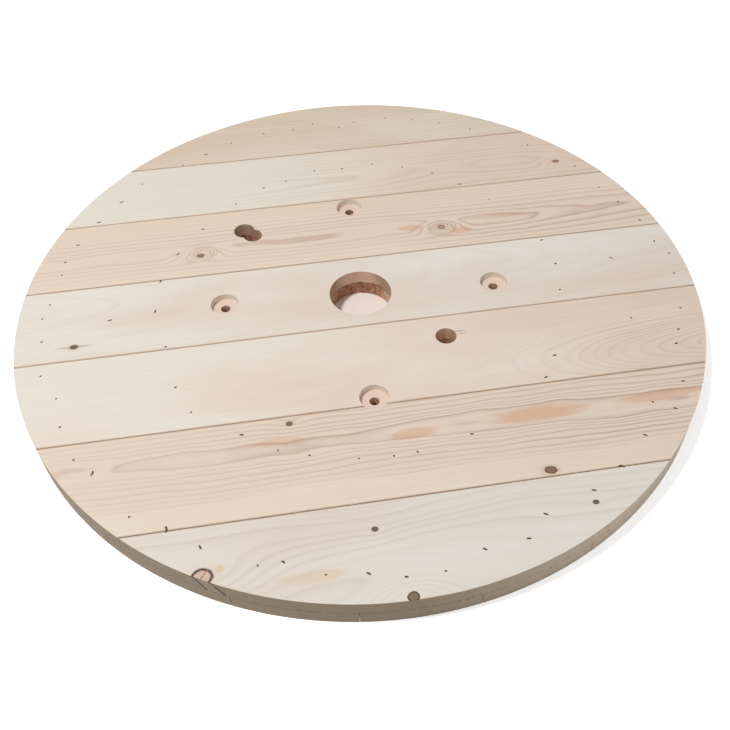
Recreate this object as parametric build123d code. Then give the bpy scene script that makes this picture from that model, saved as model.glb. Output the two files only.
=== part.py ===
from build123d import *
import math
import os

# Flange of a wooden cable drum: two crossed layers of planed softwood boards cut to one disc.
# Millimetres. The origin is on the bore's axis, on the inner face that the flange lies on, and
# +Z points to the outer face. The outer layer's boards run along X, the inner layer's along Y.

# Disc
flange_diameter = 900.0
bore_diameter = 83.0

# Boards, the same section in both layers. Together they are a little wider than the disc, by the
# edge trim on each side, and the disc's edge is cut from them.
board_thickness = 20.0
joint_gap = 0.6
arris_radius = 1.0
edge_trim = 6.8

# The outer layer's boards from back to front, each width as a share of the mean board width
outer_width_shares = (1.0, 0.946, 1.005, 0.998, 1.018, 1.026, 1.0)
# How far the outer layer's middle lies off the bore's axis, along Y
outer_layer_shift = -1.4

# Bolt holes on one circle, each with a flat seat for a washer and a nut in the outer layer.
# The circles that holes lie on are shares of the flange's diameter.
bolt_circle_share = 0.40222
bolt_count = 4
bolt_hole_diameter = 12.5
seat_diameter = 37.0
seat_depth = 9.0
bolt_turn_degrees = -2.8

# Drive pin hole, halfway between two bolts
drive_hole_diameter = 27.0
drive_hole_radius_share = 0.15222
drive_hole_bearing_degrees = -45.0

# Cable end hole: a straight bore and a slanted one, set back towards the axis, that meets it below
cable_hole_diameter = 29.0
cable_hole_radius_share = 0.23667
cable_hole_bearing_degrees = 133.6
slant_hole_diameter = 26.0
slant_hole_setback = 16.5

# How far a cutting body runs past the faces it cuts
cut_overrun = 5.0

flange_radius = flange_diameter / 2
flange_thickness = 2 * board_thickness
bolt_circle_radius = flange_diameter * bolt_circle_share / 2
drive_hole_radius_from_axis = flange_diameter * drive_hole_radius_share
cable_hole_radius_from_axis = flange_diameter * cable_hole_radius_share
boards_per_layer = len(outer_width_shares)
board_width = (flange_diameter + 2 * edge_trim - joint_gap * (boards_per_layer - 1)) / boards_per_layer


def polar(radius, bearing_degrees):
    """Returns the X and Y of a point at a radius and a bearing from the bore's axis."""
    bearing = math.radians(bearing_degrees)
    return radius * math.cos(bearing), radius * math.sin(bearing)


def layer_spans(width_shares, shift):
    """Returns the near and far edge of each board across a layer, from the back board to the front."""
    widths = [board_width * share for share in width_shares]
    far = shift + (sum(widths) + joint_gap * (len(widths) - 1)) / 2
    spans = []
    for width in widths:
        spans.append((far - width, far))
        far -= width + joint_gap
    return spans


def board_blank(near, far):
    """Returns one planed board along X, before the disc is cut, with its arrises eased."""
    rounded = RectangleRounded(far - near, board_thickness, arris_radius)
    section = Plane.YZ * Pos((near + far) / 2, board_thickness / 2) * rounded
    return extrude(section, amount=flange_radius + cut_overrun, both=True)


def upright_hole(diameter, centre):
    """Returns the cutting body of a hole square through both layers."""
    height = flange_thickness + 2 * cut_overrun
    return Pos(*centre, flange_thickness / 2) * Cylinder(diameter / 2, height)


def bolt_centres():
    """Returns the centres of the bolt holes, starting beside +X."""
    step = 360 / bolt_count
    return [polar(bolt_circle_radius, bolt_turn_degrees + step * n) for n in range(bolt_count)]


def bolt_seat(centre):
    """Returns the cutting body of one flat-bottomed seat, open to the outer face."""
    height = seat_depth + cut_overrun
    return Pos(*centre, flange_thickness - seat_depth + height / 2) * Cylinder(seat_diameter / 2, height)


def cable_hole():
    """Returns the cutting body of the cable end hole: a straight bore and a slanted one joined.

    The slanted bore starts on the outer face, nearer the axis, and reaches the straight bore's
    own axis at the inner face, so that the cable end bends through it gently.
    """
    foot = Vector(*polar(cable_hole_radius_from_axis, cable_hole_bearing_degrees), 0)
    top_radius = cable_hole_radius_from_axis - slant_hole_setback
    top = Vector(*polar(top_radius, cable_hole_bearing_degrees), flange_thickness)
    reach = (top - foot).length + slant_hole_diameter
    slanted = Plane(origin=foot, z_dir=top - foot) * Cylinder(
        slant_hole_diameter / 2, reach, align=(Align.CENTER, Align.CENTER, Align.MIN)
    )
    return upright_hole(cable_hole_diameter, (foot.X, foot.Y)) + slanted


def layer(blanks, bottom, cuts):
    """Returns the boards of one layer at their height, cut to the disc and drilled."""
    disc = Cylinder(flange_radius, board_thickness, align=(Align.CENTER, Align.CENTER, Align.MIN))
    pieces = []
    for blank in blanks:
        piece = Pos(0, 0, bottom) * (blank & disc)
        for cut in cuts:
            piece = piece - cut
        pieces.append(piece)
    return pieces


drive_hole_centre = polar(drive_hole_radius_from_axis, drive_hole_bearing_degrees)
through_holes = [
    upright_hole(bore_diameter, (0, 0)),
    upright_hole(drive_hole_diameter, drive_hole_centre),
    cable_hole(),
]
through_holes += [upright_hole(bolt_hole_diameter, centre) for centre in bolt_centres()]
bolt_seats = [bolt_seat(centre) for centre in bolt_centres()]

outer_spans = layer_spans(outer_width_shares, outer_layer_shift)
outer_blanks = [board_blank(near, far) for near, far in outer_spans]
# The inner layer's boards all have the mean width, and the middle one is centred on the bore.
inner_width_shares = [1] * boards_per_layer
inner_blanks = [Rot(0, 0, 90) * board_blank(near, far) for near, far in layer_spans(inner_width_shares, 0)]

outer_layer = layer(outer_blanks, board_thickness, through_holes + bolt_seats)
inner_layer = layer(inner_blanks, 0, through_holes)

os.makedirs("parts", exist_ok=True)
for number, board in enumerate(outer_layer, start=1):
    export_step(board, f"parts/outer_board_{number}.step")
for number, board in enumerate(inner_layer, start=1):
    export_step(board, f"parts/inner_board_{number}.step")
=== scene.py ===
"""Dresses the flange of a wooden cable drum: planed softwood boards, clinched nails and torn end grain."""

import logging
import math
import random
from dataclasses import dataclass, field, replace
from enum import Enum

import bmesh
import bpy
from mathutils import Matrix, Vector


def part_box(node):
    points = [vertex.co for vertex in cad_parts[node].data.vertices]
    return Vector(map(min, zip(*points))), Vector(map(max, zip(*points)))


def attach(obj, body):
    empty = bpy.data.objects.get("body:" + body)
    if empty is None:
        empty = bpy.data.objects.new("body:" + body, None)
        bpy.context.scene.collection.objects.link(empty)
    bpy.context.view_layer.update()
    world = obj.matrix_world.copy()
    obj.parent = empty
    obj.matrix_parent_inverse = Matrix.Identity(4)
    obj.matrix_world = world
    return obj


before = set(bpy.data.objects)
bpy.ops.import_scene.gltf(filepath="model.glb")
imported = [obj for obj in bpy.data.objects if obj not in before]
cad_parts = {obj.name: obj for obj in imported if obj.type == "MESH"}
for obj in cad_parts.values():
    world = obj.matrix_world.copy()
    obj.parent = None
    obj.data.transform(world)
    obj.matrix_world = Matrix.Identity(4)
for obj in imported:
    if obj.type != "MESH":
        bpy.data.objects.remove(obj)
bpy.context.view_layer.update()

LOG = logging.getLogger("cable_drum_flange")

MM = 0.001

Socket = bpy.types.NodeSocket
Triple = tuple[float, float, float]
Rgba = tuple[float, float, float, float]

# What a Mix node is set to when it lays one colour over another: its socket 0 takes the share,
# 6 the colour below and 7 the one above
COLOUR_MIX: dict[str, object] = {"out": 2, "data_type": "RGBA"}

# Sizes that the boards were made to, in millimetres
FLANGE_RADIUS = 450.0
BOARD_THICKNESS = 20.0
FLANGE_THICKNESS = 2 * BOARD_THICKNESS
BORE_RADIUS = 41.5
BOLT_CIRCLE_RADIUS = 181.0
SEAT_RADIUS = 18.5
SEAT_DEPTH = 9.0
CABLE_HOLE_PLACE = (-146.9, 154.2)
CABLE_HOLE_RADIUS = 14.5

BOLT_TURN_DEGREES = -2.8


# ---------------------------------------------------------------------------
# Small tools
# ---------------------------------------------------------------------------


def colour(hex_code: str) -> Rgba:
    """Turns an sRGB hex colour into linear light.

    Args:
        hex_code: six hex digits, red first.

    Returns:
        Red, green, blue and alpha in linear light.
    """

    def linear(value: float) -> float:
        """Turns one channel, from 0 to 1, from sRGB into linear light."""
        return value / 12.92 if value <= 0.04045 else ((value + 0.055) / 1.055) ** 2.4

    parts = [int(hex_code[start : start + 2], 16) / 255 for start in (0, 2, 4)]
    return (linear(parts[0]), linear(parts[1]), linear(parts[2]), 1.0)


def add(
    tree: bpy.types.NodeTree,
    kind: str,
    inputs: dict[int | str, object] | None = None,
    out: int | str = 0,
    **settings: object,
) -> Socket | None:
    """Adds a node, sets its properties, and fills its inputs with values or links.

    Args:
        tree: the node tree that gets the node.
        kind: Blender's name for the type of node.
        inputs: socket index or name to a value, or to the output socket that feeds it.
        out: which output to return.
        **settings: properties of the node itself.

    Returns:
        The chosen output socket, whose .node is the new node, or None where it has no outputs.
    """
    made = tree.nodes.new(kind)
    for name, value in settings.items():
        setattr(made, name, value)
    for key, value in (inputs or {}).items():
        socket = made.inputs[key]
        if isinstance(value, bpy.types.NodeSocket):
            tree.links.new(value, socket)
        else:
            socket.default_value = value
    return made.outputs[out] if made.outputs else None


def set_stops(ramp: Socket, stops: list[tuple[float, Rgba]]) -> None:
    """Sets a colour ramp's stops.

    Args:
        ramp: an output socket of the colour ramp node.
        stops: position and linear colour of each stop, in order.
    """
    elements = ramp.node.color_ramp.elements
    while len(elements) < len(stops):
        elements.new(0.5)
    for element, (place, shade) in zip(elements, stops):
        element.position = place
        element.color = shade


def grey(value: float) -> Rgba:
    """Returns a linear grey."""
    return (value, value, value, 1.0)


def blank_material(name: str) -> bpy.types.Material:
    """Makes a material that has no nodes yet.

    Args:
        name: the material's name.

    Returns:
        The material.
    """
    material = bpy.data.materials.new(name)
    material.use_nodes = True
    material.node_tree.nodes.clear()
    return material


def seen_directly(tree: bpy.types.NodeTree) -> Socket:
    """Tells the rays that look at a surface from those that only carry light.

    Args:
        tree: the node tree that asks.

    Returns:
        One for rays from the camera, also by a mirror or through glass, and nothing for the rest.
    """
    path = add(tree, "ShaderNodeLightPath").node
    seen = path.outputs["Is Camera Ray"]
    for other in ("Is Glossy Ray", "Is Transmission Ray"):
        seen = add(tree, "ShaderNodeMath", {0: seen, 1: path.outputs[other]}, operation="MAXIMUM")
    return seen


def finish_shape(work: bmesh.types.BMesh, name: str) -> bpy.types.Object:
    """Turns faces outwards and makes an object of them, for Geometry Nodes to repeat.

    Args:
        work: the faces, which are freed.
        name: the object's name.

    Returns:
        The object, which isn't in the scene.
    """
    bmesh.ops.recalc_face_normals(work, faces=work.faces)
    mesh = bpy.data.meshes.new(name)
    work.to_mesh(mesh)
    work.free()
    return bpy.data.objects.new(name, mesh)


# ---------------------------------------------------------------------------
# The wood
# ---------------------------------------------------------------------------


class Layer(Enum):
    """The two layers of boards, which cross."""

    OUTER = "outer"
    INNER = "inner"


@dataclass(frozen=True)
class Softwood:
    """The colours of one planed, fresh-looking softwood board, as sRGB hex, and its roughness.

    Attributes:
        pale: spring wood where it is lightest.
        drift: spring wood where it is darkest.
        heart: spring wood of the heart.
        ring: summer wood.
        heart_ring: summer wood of the heart.
        wall: a drilled wall beside the fibres.
        end_grain: a drilled wall across them.
        torn: its pits and summer wood.
        sawn: the disc's edge, left of the bore's axis.
        sawn_painted_lit: the disc's edge at the right, painted paler as painted light falling on that side.
        seat_wall_painted_lit: the walls of the bolt seats, painted paler than the bore's walls as painted light.
        seat_floor: their floors.
        grime_and_arris_shade: painted shade on the eased edges beside the joints, and dirt in the saw marks.
        shade: the crack between the layers.
        roughness: how matt the planed face is.
    """

    pale: str = "e6dac8"
    drift: str = "dccbb4"
    heart: str = "e0c6b0"
    ring: str = "cbb295"
    heart_ring: str = "c09a7c"
    wall: str = "cfb39b"
    end_grain: str = "c9af96"
    torn: str = "a98669"
    sawn: str = "968570"
    sawn_painted_lit: str = "dccab4"
    seat_wall_painted_lit: str = "f1ecdf"
    seat_floor: str = "dfc7b9"
    grime_and_arris_shade: str = "a88a6c"
    shade: str = "4a3226"
    roughness: float = 0.62


@dataclass(frozen=True)
class Knot:
    """A branch's stub seen in a board's face.

    Attributes:
        x: its middle along X of the part, in mm.
        y: its middle along Y of the part, in mm.
        half_long: half its length along the fibres, in mm.
        half_wide: half its width across them, in mm.
        push: how far the trunk's rings are pushed out round it, in mm.
        reach: how far that is felt, as a share of its size.
        core: the darker shade of its own rings.
        inner: the paler shade between them.
        bark: the shade of its bark.
        halo: the shade of the wood beside it.
        halo_strength: how strongly the halo shows.
        lean: how far it moves, along and across the fibres, per mm below the face.
        crack_bearing: the way of its drying crack, in degrees from the fibres, or None.
        crack: the shade in the crack.
        bark_width: the bark's width as a share of the usual one.
        eye: how strongly the rings round it show.
        eye_off: how far their middle lies off its own, in mm.
        cut_by_rim: whether the disc's edge cuts it.
    """

    x: float
    y: float
    half_long: float
    half_wide: float
    push: float = 9.0
    reach: float = 2.6
    core: str = "8a5f42"
    inner: str = "a87854"
    bark: str = "3f2a1d"
    halo: str = "c89a72"
    halo_strength: float = 0.4
    lean: tuple[float, float] = (0.0, 0.0)
    crack_bearing: float | None = None
    crack: str = "9a6f5e"
    bark_width: float = 1.0
    eye: float = 0.0
    eye_off: tuple[float, float] = (0.0, 0.0)
    cut_by_rim: bool = False


@dataclass(frozen=True)
class Flame:
    """A lens of heartwood colour where one late ring lies level with the planed face; a thin dark lens stands for
    painted shade, the shadow in a crack.

    Attributes:
        x: its middle along X of the part, in mm.
        y: its middle along Y of the part, in mm.
        half_long: half its length along the fibres, in mm.
        half_wide: half its width across them, in mm.
        tint: its colour.
        strength: how strongly it shows.
        tilt: how far it is turned in the face, in degrees.
    """

    x: float
    y: float
    half_long: float
    half_wide: float
    tint: str = "cf9f7b"
    strength: float = 0.7
    tilt: float = 0.0


@dataclass(frozen=True)
class Figure:
    """How a board was sawn from its log, which gives the pattern on its face.

    The pith is the log's middle line: off the board's centre line by pith_across, below the
    face by pith_depth, and falling away along the board by pith_fall per mm of length.

    Attributes:
        pith_across: how far the pith lies off the board's centre line, in mm.
        pith_depth: how far it lies below the outer face, in mm.
        pith_fall: how far it falls per mm along the board.
        ring_gap: the mean width of a yearly ring, in mm.
        ring_strength: how strongly the rings show.
        wander: how far the fibres wander over the length of a board, in mm.
        ripple: how far they ripple over a hand's width, in mm.
        heart_radius: the heartwood's radius in mm, or nothing for a board without it.
        heart_blur: half the width of its edge, in mm.
        sapwood_rings: how strongly rings show outside it.
        drift_along: how much darker the wood gets per mm along the board.
        bold_along: how much bolder the rings get per mm along the board, or nothing.
        bold_here: how bold they are at its middle, where bold_along is used.
        knots: the knots.
        flames: the flames, and thin dark lenses of painted shade.
        wood: the colours.
    """

    pith_across: float
    pith_depth: float
    pith_fall: float = 0.0
    ring_gap: float = 4.2
    ring_strength: float = 0.5
    wander: float = 14.0
    ripple: float = 1.2
    heart_radius: float = 0.0
    heart_blur: float = 14.0
    sapwood_rings: float = 1.0
    drift_along: float = 0.0
    bold_along: float = 0.0
    bold_here: float = 0.6
    knots: tuple[Knot, ...] = ()
    flames: tuple[Flame, ...] = ()
    wood: Softwood = field(default_factory=Softwood)


@dataclass(frozen=True)
class Grain:
    """The patterns that all boards share.

    A pattern's size is the length of its patches in mm, along the fibres, across them and up.
    """

    # Fibres are 0.03 mm wide; they are drawn 1 mm wide, so that they show
    fibres: Triple = (38.0, 1.0, 1.0)
    fibre_shade: float = 0.16
    wander: Triple = (420.0, 110.0, 110.0)
    ripple: Triple = (75.0, 22.0, 22.0)
    drift: Triple = (340.0, 90.0, 90.0)
    ring_fade: Triple = (260.0, 60.0, 60.0)
    heart_edge: Triple = (160.0, 24.0, 24.0)
    heart_wander: float = 26.0
    flame_edge: Triple = (45.0, 7.0, 7.0)
    knot_edge: Triple = (9.0, 7.0, 30.0)
    knot_rough: float = 0.45
    # The eased edges beside the joints, painted darker as painted shade
    arris_shade_edge: Triple = (60.0, 4.0, 4.0)
    arris_shade_inside: float = 1.3
    arris_shade_outside: float = 0.3
    arris_shade_share: float = 0.6
    seam_edge: Triple = (5.0, 5.0, 40.0)
    seam_rough: float = 7.0
    seam_fade: Triple = (55.0, 55.0, 500.0)
    # Torn end grain has pits of some tenths of a mm; they are drawn over 1 mm wide, so that they show
    outer_pits: Triple = (1.6, 1.2, 2.4)
    inner_pits: Triple = (7.0, 6.0, 5.0)
    saw_marks: Triple = (2.2, 2.2, 26.0)
    seat_share: float = 0.8
    relief: float = 0.25
    relief_strength: float = 0.35


GRAIN = Grain()


@dataclass
class BoardMaterial:
    """Builds the node material of one board from its figure.

    Spruce or pine, sawn, dried and planed on all sides: pale bands of spring wood and thin
    darker bands of summer wood, matt with a faint sheen along the fibres. Where a saw or a
    drill crosses the fibres the wood is darker and torn.

    Attributes:
        name: the material's name.
        figure: how the board was sawn.
        layer: which layer it lies in, which gives the way of its fibres.
        middle: the board's centre line, in mm across the fibres.
        width: the board's width, in mm.
        bottom: the height of its lower face, in mm.
        seed: moves the random patterns, so that no two boards share one.
        material: the material, empty until build.
        tree: its node tree.
    """

    FACE_LEVEL = BOARD_THICKNESS

    name: str
    figure: Figure
    layer: Layer
    middle: float
    width: float
    bottom: float
    seed: int
    material: bpy.types.Material = field(init=False)
    tree: bpy.types.NodeTree = field(init=False)

    def __post_init__(self) -> None:
        """Makes the empty material."""
        self.material = blank_material(self.name)
        self.tree = self.material.node_tree

    def across(self, x: float, y: float) -> tuple[float, float]:
        """Turns a place on the part into lengths along and across this board.

        Args:
            x: the place along X of the part, in mm.
            y: the place along Y of the part, in mm.

        Returns:
            The length along the fibres and the one across them from the board's centre line, in mm.
        """
        if self.layer is Layer.OUTER:
            return x, y - self.middle
        return y, -x + self.middle

    def board_space(self) -> Socket:
        """Turns the part's space into the board's own.

        Returns:
            The point in mm: along the fibres, across them, and up from the lower face.
        """
        where = add(self.tree, "ShaderNodeTexCoord", out="Object")
        if self.layer is Layer.OUTER:
            turn, offset = 0.0, (0.0, -self.middle, -self.bottom)
        else:
            turn, offset = -math.pi / 2, (0.0, self.middle, -self.bottom)
        return add(
            self.tree,
            "ShaderNodeMapping",
            {"Vector": where, "Scale": (1 / MM,) * 3, "Rotation": (0, 0, turn), "Location": offset},
        )

    def noise(self, point: Socket, lengths: Triple, detail: float, shift: float, out: str = "Fac") -> Socket:
        """Draws noise with patches of a given size.

        Args:
            point: the point, in mm in the board's own space.
            lengths: the patches' lengths in mm, along the fibres, across them and up.
            detail: how many finer layers lie over the patches.
            shift: moves the noise, so that no two patterns of a board match.
            out: which output of the noise is wanted.

        Returns:
            The noise.
        """
        scaled = add(
            self.tree,
            "ShaderNodeVectorMath",
            {0: point, 1: tuple(1 / size for size in lengths), 2: (shift + self.seed * 3.7,) * 3},
            operation="MULTIPLY_ADD",
        )
        return add(
            self.tree,
            "ShaderNodeTexNoise",
            {"Vector": scaled, "Scale": 1.0, "Detail": detail, "Roughness": 0.55},
            out=out,
        )

    def bent(self, point: Socket) -> Socket:
        """Moves a point by the slow wander and the fine ripple of the fibres.

        Args:
            point: the point, in mm in the board's own space.

        Returns:
            The moved point.
        """
        figure = self.figure
        moved = point
        for lengths, amount, shift in (
            (GRAIN.wander, figure.wander, 11.0),
            (GRAIN.ripple, figure.ripple, 29.0),
        ):
            cloud = self.noise(point, lengths, detail=1.0, shift=shift, out="Color")
            centred = add(self.tree, "ShaderNodeVectorMath", {0: cloud, 1: (0.5,) * 3}, operation="SUBTRACT")
            moved = add(
                self.tree,
                "ShaderNodeVectorMath",
                {0: centred, 1: (0.0, 2 * amount, 2 * amount), 2: moved},
                operation="MULTIPLY_ADD",
            )
        return moved

    def oval(
        self,
        point: Socket,
        x: float,
        y: float,
        half_long: float,
        half_wide: float,
        tilt: float = 0.0,
        lean: tuple[float, float] = (0.0, 0.0),
    ) -> Socket:
        """Measures how far a point lies from the middle of an oval that stands upright.

        Args:
            point: the point, in mm in the board's own space.
            x: the oval's middle along X of the part, in mm.
            y: the oval's middle along Y of the part, in mm.
            half_long: half its length along the fibres.
            half_wide: half its width across them.
            tilt: how far it is turned in the face, in degrees.
            lean: how far its middle moves, along and across the fibres, per mm below the face.

        Returns:
            The distance as a share of the oval's size, one on its outline.
        """
        along, over = self.across(x, y)
        off = add(self.tree, "ShaderNodeVectorMath", {0: point, 1: (along, over, 0)}, operation="SUBTRACT")
        if any(lean):
            depth = add(self.tree, "ShaderNodeSeparateXYZ", {0: point}, out=2)
            depth = add(self.tree, "ShaderNodeMath", {0: depth, 1: self.FACE_LEVEL}, operation="SUBTRACT")
            slide = add(
                self.tree, "ShaderNodeVectorMath", {0: (lean[0], lean[1], 0.0), "Scale": depth}, operation="SCALE"
            )
            off = add(self.tree, "ShaderNodeVectorMath", {0: off, 1: slide}, operation="ADD")
        if tilt:
            off = add(
                self.tree,
                "ShaderNodeVectorRotate",
                {"Vector": off, "Angle": -math.radians(tilt)},
                rotation_type="Z_AXIS",
            )
        share = add(
            self.tree,
            "ShaderNodeVectorMath",
            {0: off, 1: (1 / half_long, 1 / half_wide, 0)},
            operation="MULTIPLY",
        )
        return add(self.tree, "ShaderNodeVectorMath", {0: share}, out="Value", operation="LENGTH")

    def hill(self, distance: Socket) -> Socket:
        """Turns a distance into a smooth hill.

        Args:
            distance: the distance from the hill's middle.

        Returns:
            One at the middle, falling off past a distance of one.
        """
        squared = add(self.tree, "ShaderNodeMath", {0: distance, 1: distance}, operation="MULTIPLY")
        turned = add(self.tree, "ShaderNodeMath", {0: squared, 1: -1.0}, operation="MULTIPLY")
        return add(self.tree, "ShaderNodeMath", {0: turned}, operation="EXPONENT")

    def ring_radius(self, point: Socket) -> Socket:
        """Measures how far a point lay from the log's pith.

        Args:
            point: the point, in mm in the board's own space.

        Returns:
            The distance in mm, pushed outwards round each knot.
        """
        figure = self.figure
        moved = self.bent(point)
        parts = add(self.tree, "ShaderNodeSeparateXYZ", {0: point})
        pith = add(
            self.tree,
            "ShaderNodeVectorMath",
            {0: (0.0, 0.0, -figure.pith_fall), "Scale": parts.node.outputs[0]},
            operation="SCALE",
        )
        start = (0.0, figure.pith_across, self.FACE_LEVEL - figure.pith_depth)
        pith = add(self.tree, "ShaderNodeVectorMath", {0: pith, 1: start}, operation="ADD")
        away = add(self.tree, "ShaderNodeVectorMath", {0: moved, 1: pith}, operation="SUBTRACT")
        away = add(self.tree, "ShaderNodeVectorMath", {0: away, 1: (0.0, 1.0, 1.0)}, operation="MULTIPLY")
        radius = add(self.tree, "ShaderNodeVectorMath", {0: away}, out="Value", operation="LENGTH")
        for knot in figure.knots:
            distance = self.oval(
                moved, knot.x, knot.y, knot.half_long * knot.reach * 1.7, knot.half_wide * knot.reach
            )
            radius = add(
                self.tree,
                "ShaderNodeMath",
                {0: self.hill(distance), 1: knot.push, 2: radius},
                operation="MULTIPLY_ADD",
            )
        return radius

    def ring_tone(self, radius: Socket) -> Socket:
        """Draws the yearly rings.

        Args:
            radius: the distance from the log's pith, in mm.

        Returns:
            How much summer wood shows, from 0 in spring wood to 1 at a ring's late edge.
        """
        figure = self.figure
        # Ring widths differ from year to year
        uneven = add(
            self.tree,
            "ShaderNodeTexNoise",
            {"W": radius, "Scale": 1 / (figure.ring_gap * 5), "Detail": 1.0},
            noise_dimensions="1D",
        )
        rings = add(
            self.tree,
            "ShaderNodeMath",
            {0: radius, 1: figure.ring_gap, 2: self.seed * 0.37},
            operation="DIVIDE",
        )
        rings = add(self.tree, "ShaderNodeMath", {0: uneven, 1: 3.0, 2: rings}, operation="MULTIPLY_ADD")
        season = add(self.tree, "ShaderNodeMath", {0: rings}, operation="FRACT")
        late = add(self.tree, "ShaderNodeValToRGB", {"Fac": season})
        set_stops(late, [(0.0, grey(0.12)), (0.35, grey(0.0)), (0.72, grey(0.35)), (0.9, grey(1.0)), (1.0, grey(0.2))])
        year = add(self.tree, "ShaderNodeMath", {0: rings}, operation="FLOOR")
        fortune = add(self.tree, "ShaderNodeTexWhiteNoise", {"W": year}, noise_dimensions="1D")
        depth = add(
            self.tree,
            "ShaderNodeMapRange",
            {"Value": fortune, "To Min": 0.35, "To Max": 1.0},
        )
        return add(self.tree, "ShaderNodeMath", {0: late, 1: depth}, operation="MULTIPLY")

    def face_colour(self, point: Socket, radius: Socket, tone: Socket) -> Socket:
        """Colours a planed face, without its knots.

        Args:
            point: the point, in mm in the board's own space.
            radius: the distance from the log's pith, in mm.
            tone: how much summer wood shows.

        Returns:
            The colour.
        """
        figure, wood = self.figure, self.figure.wood
        patches = self.noise(point, GRAIN.drift, detail=2.0, shift=47.0)
        if figure.drift_along:
            along = add(self.tree, "ShaderNodeSeparateXYZ", {0: point})
            patches = add(
                self.tree,
                "ShaderNodeMath",
                {0: along, 1: figure.drift_along, 2: patches},
                operation="MULTIPLY_ADD",
            )
        patches = add(
            self.tree, "ShaderNodeMapRange", {"Value": patches, "From Min": 0.35, "From Max": 0.65}
        )
        base = add(self.tree, "ShaderNodeMix", {0: patches, 6: colour(wood.pale), 7: colour(wood.drift)}, **COLOUR_MIX)
        ring = colour(wood.ring)
        calm = 1.0
        if figure.heart_radius:
            # Heartwood lies nearer the pith than sapwood, with an uneven edge
            edge = self.noise(point, GRAIN.heart_edge, detail=2.0, shift=61.0)
            edge = add(
                self.tree, "ShaderNodeMath", {0: edge, 1: GRAIN.heart_wander, 2: radius}, operation="MULTIPLY_ADD"
            )
            # The noise is about a half, which moves the edge out by half the wander
            middle = figure.heart_radius + GRAIN.heart_wander / 2
            heart = add(
                self.tree,
                "ShaderNodeMapRange",
                {
                    "Value": edge,
                    "From Min": middle + figure.heart_blur,
                    "From Max": middle - figure.heart_blur,
                },
            )
            base = add(self.tree, "ShaderNodeMix", {0: heart, 6: base, 7: colour(wood.heart)}, **COLOUR_MIX)
            ring = add(self.tree, "ShaderNodeMix", {0: heart, 6: ring, 7: colour(wood.heart_ring)}, **COLOUR_MIX)
            calm = add(self.tree, "ShaderNodeMapRange", {"Value": heart, "To Min": figure.sapwood_rings})
        for flame in figure.flames:
            distance = self.oval(point, flame.x, flame.y, flame.half_long, flame.half_wide, flame.tilt)
            ragged = self.noise(point, GRAIN.flame_edge, detail=2.0, shift=flame.x)
            distance = add(
                self.tree, "ShaderNodeMath", {0: ragged, 1: 1.1, 2: distance}, operation="MULTIPLY_ADD"
            )
            inside = add(
                self.tree,
                "ShaderNodeMapRange",
                {"Value": distance, "From Min": 1.65, "From Max": 1.25, "To Max": flame.strength},
            )
            base = add(self.tree, "ShaderNodeMix", {0: inside, 6: base, 7: colour(flame.tint)}, **COLOUR_MIX)
        strength = self.noise(point, GRAIN.ring_fade, detail=1.0, shift=83.0)
        strength = add(
            self.tree,
            "ShaderNodeMapRange",
            {
                "Value": strength,
                "From Min": 0.3,
                "From Max": 0.7,
                "To Min": 0.45 * figure.ring_strength,
                "To Max": figure.ring_strength,
            },
        )
        if figure.bold_along:
            along = add(self.tree, "ShaderNodeSeparateXYZ", {0: point})
            rise = add(
                self.tree,
                "ShaderNodeMath",
                {0: along, 1: figure.bold_along, 2: figure.bold_here},
                operation="MULTIPLY_ADD",
                use_clamp=True,
            )
            strength = add(self.tree, "ShaderNodeMath", {0: strength, 1: rise}, operation="MULTIPLY")
        shown = add(self.tree, "ShaderNodeMath", {0: tone, 1: strength}, operation="MULTIPLY")
        shown = add(self.tree, "ShaderNodeMath", {0: shown, 1: calm}, operation="MULTIPLY")
        return add(self.tree, "ShaderNodeMix", {0: shown, 6: base, 7: ring}, **COLOUR_MIX)

    def eye_rings(self, point: Socket, base: Socket, upright: Socket, knot: Knot, rough: Socket) -> Socket:
        """Lays the trunk's rings round a knot, which close like an eye a little off the stub's middle.

        Args:
            point: the point, in mm in the board's own space.
            base: the colour of the wood round the knot.
            upright: one where the surface is level, and nothing on a wall or the rim.
            knot: the knot.
            rough: noise that makes the rings uneven.

        Returns:
            The colour with the rings.
        """
        x, y = knot.x + knot.eye_off[0], knot.y + knot.eye_off[1]
        rings = self.oval(point, x, y, knot.half_long * 1.25, knot.half_wide)
        rings = add(self.tree, "ShaderNodeMath", {0: rough, 1: 0.6, 2: rings}, operation="MULTIPLY_ADD")
        # Three rings, the last one fainter, between the stub and four times its size
        rings = add(self.tree, "ShaderNodeMath", {0: rings, 1: 0.25}, operation="MULTIPLY")
        rings = add(self.tree, "ShaderNodeValToRGB", {"Fac": rings})
        shades = (0, 0, 1, 0, 0, 1, 0, 0, 0.8, 0)
        places = (0.0, 0.36, 0.43, 0.5, 0.56, 0.63, 0.7, 0.76, 0.83, 0.9)
        set_stops(rings, [(place, grey(shade)) for place, shade in zip(places, shades)])
        rings = add(self.tree, "ShaderNodeMath", {0: rings, 1: knot.eye}, operation="MULTIPLY")
        rings = add(self.tree, "ShaderNodeMath", {0: rings, 1: upright}, operation="MULTIPLY")
        return add(
            self.tree, "ShaderNodeMix", {0: rings, 6: base, 7: colour(self.figure.wood.heart_ring)}, **COLOUR_MIX
        )

    def stub(self, point: Socket, knot: Knot, distance: Socket) -> Socket:
        """Colours a branch's stub: its own yearly rings, then the bark that the trunk grew round.

        Args:
            point: the point, in mm in the board's own space.
            knot: the knot.
            distance: how far the point lies from the knot's middle, as a share of its size.

        Returns:
            The stub's colour.
        """
        core, inner, bark = colour(knot.core), colour(knot.inner), colour(knot.bark)
        shade = add(self.tree, "ShaderNodeValToRGB", {"Fac": distance})
        set_stops(
            shade,
            [
                (0.0, core),
                (0.12, core),
                (0.3, inner),
                (0.38, core),
                (0.58, inner),
                (0.9 - 0.14 * knot.bark_width, core),
                (1.0 - 0.1 * knot.bark_width, bark),
                (1.0, bark),
            ],
        )
        if knot.crack_bearing is None:
            return shade
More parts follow.
